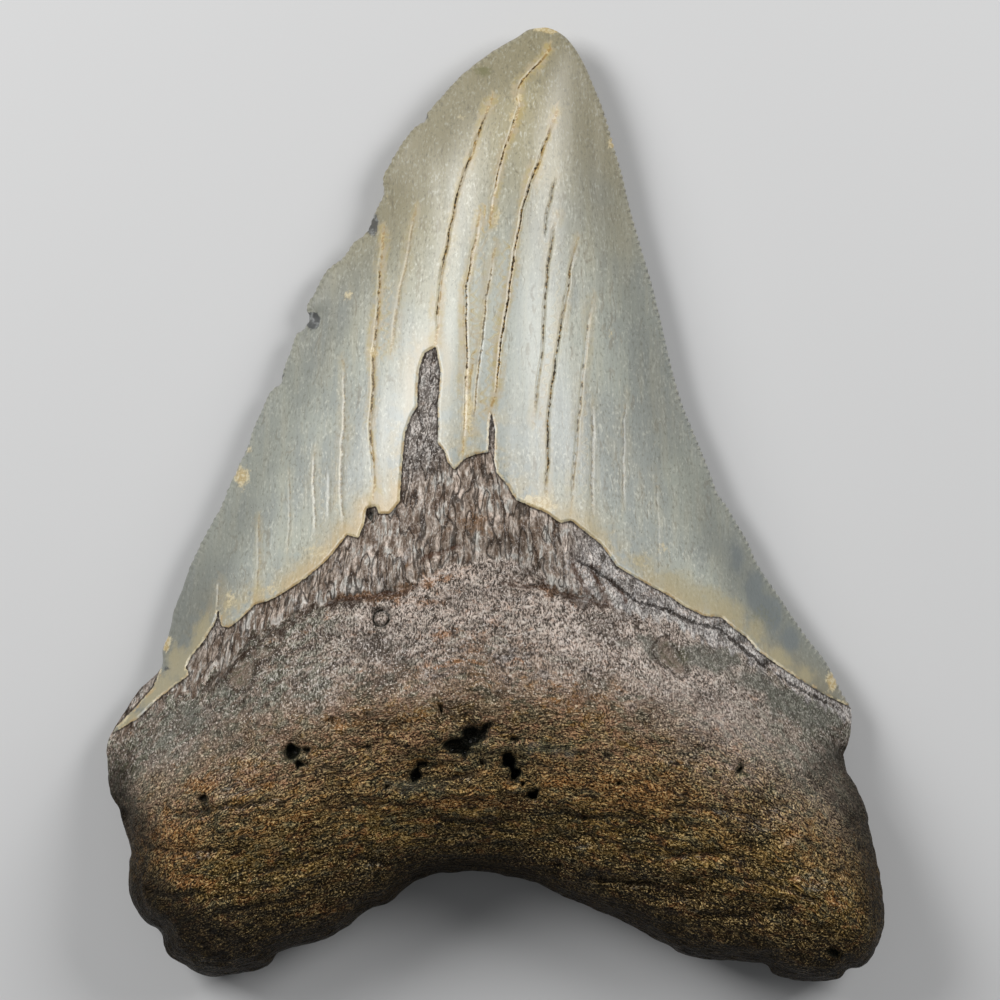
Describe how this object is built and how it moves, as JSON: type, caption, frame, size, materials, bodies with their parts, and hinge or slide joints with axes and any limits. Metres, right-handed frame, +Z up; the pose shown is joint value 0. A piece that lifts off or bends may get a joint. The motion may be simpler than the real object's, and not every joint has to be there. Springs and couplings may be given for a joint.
{
  "type": "fossil megalodon tooth",
  "caption": "Fossil giant-shark tooth lying on its flat outer face: serrated triangular enamel crown, dark ribbed collar and a thick two-lobed root with nutrient pits.",
  "frame": {"origin": "on the surface that the tooth lies on, under the middle of its bounding box", "axes": "+Y from the root towards the crown's tip, +Z up out of the domed inner face, +X across the tooth to the right as seen from above"},
  "size_m": [0.0992, 0.1216, 0.0261],
  "materials": {
    "fossil_tooth": "satin grey-green fossil enamel on the crown, dull brown fossil bone on the root"
  },
  "bodies": {
    "root": {"tooth": "fossil_tooth"}
  },
  "joints": []
}
